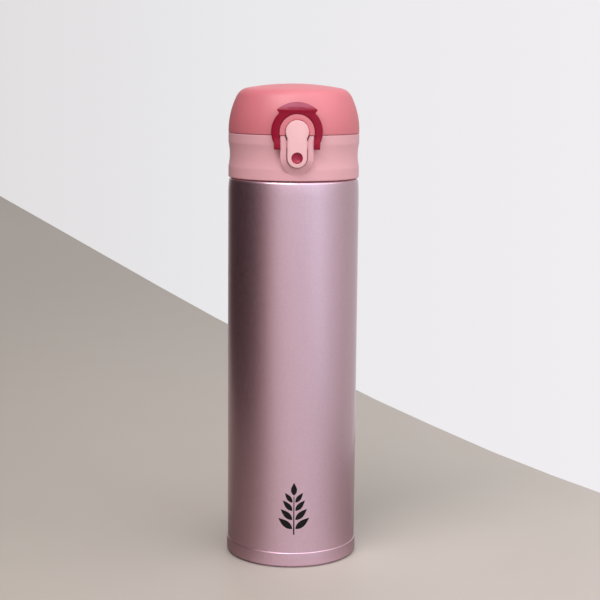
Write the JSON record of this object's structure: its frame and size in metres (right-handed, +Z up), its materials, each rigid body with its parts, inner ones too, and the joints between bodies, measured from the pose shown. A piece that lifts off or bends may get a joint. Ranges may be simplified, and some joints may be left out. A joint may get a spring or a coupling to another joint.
{
  "type": "vacuum flask",
  "caption": "Slim pink vacuum flask with a domed flip lid, a push-button latch, a swinging lock ring, a drinking spout and a screw-off cap.",
  "frame": {"origin": "centre of the base on the surface that the flask stands on", "axes": "+Z up along the flask's axis, -Y to the front where the latch is, +Y to the rear where the lid's hinge is, +X to the right seen from the front"},
  "size_m": [0.0658, 0.0738, 0.2372],
  "materials": {
    "pearl_paint": "pearl metallic",
    "bright_steel": "satin",
    "spring_steel": "bright",
    "braze": "matte",
    "getter_alloy": "matte",
    "foil": "bright",
    "silicone": "matte",
    "pale_plastic": "satin",
    "pink_plastic": "satin",
    "white_plastic": "satin",
    "berry_plastic": "gloss"
  },
  "bodies": {
    "bottle": {"outer_shell": "pearl_paint", "inner_liner": "bright_steel", "base_cup": "pearl_paint", "base_plate": "bright_steel", "seal_bead": "braze", "getter": "getter_alloy", "heat_foil": "foil"},
    "neck_seal": {"neck_gasket": "silicone"},
    "cap": {"cap_collar": "pale_plastic", "cap_core": "white_plastic", "spout": "white_plastic", "spout_seal": "silicone", "hinge_pin": "bright_steel", "lid_spring": "spring_steel", "latch_pin": "bright_steel", "button_spring": "spring_steel"},
    "lid": {"lid_cover": "pink_plastic", "lid_lining": "white_plastic", "lid_gasket": "silicone"},
    "button": {"push_button": "pale_plastic", "button_dot": "berry_plastic"},
    "lock": {"lock_ring": "berry_plastic"}
  },
  "joints": [
    {"name": "cap_lift", "type": "slide", "parent": "bottle", "child": "neck_seal", "axis": [0, 0, 1], "range_m": [0, 0.008]},
    {"name": "cap_turn", "type": "hinge", "parent": "neck_seal", "child": "cap", "pos_m": [0, 0, 0.2], "axis": [0, 0, 1], "range_deg": [0, 720]},
    {"name": "lid_hinge", "type": "hinge", "parent": "cap", "child": "lid", "pos_m": [0, 0.03415, 0.2111], "axis": [-1, 0, 0], "range_deg": [0, 120], "deforming": ["lid_spring"]},
    {"name": "button_rock", "type": "hinge", "parent": "cap", "child": "button", "pos_m": [0, -0.03365, 0.2088], "axis": [1, 0, 0], "range_deg": [-4, 4], "stiffness_Nm_per_rad": 0.05, "springref_deg": -4, "deforming": ["button_spring"]},
    {"name": "lock_flip", "type": "hinge", "parent": "cap", "child": "lock", "pos_m": [0, -0.03365, 0.2088], "axis": [1, 0, 0], "range_deg": [-6, 160]}
  ],
  "couplings": [
    {"joint": "cap_lift", "follows": "cap_turn", "m_per_rad": 0.0006366}
  ]
}
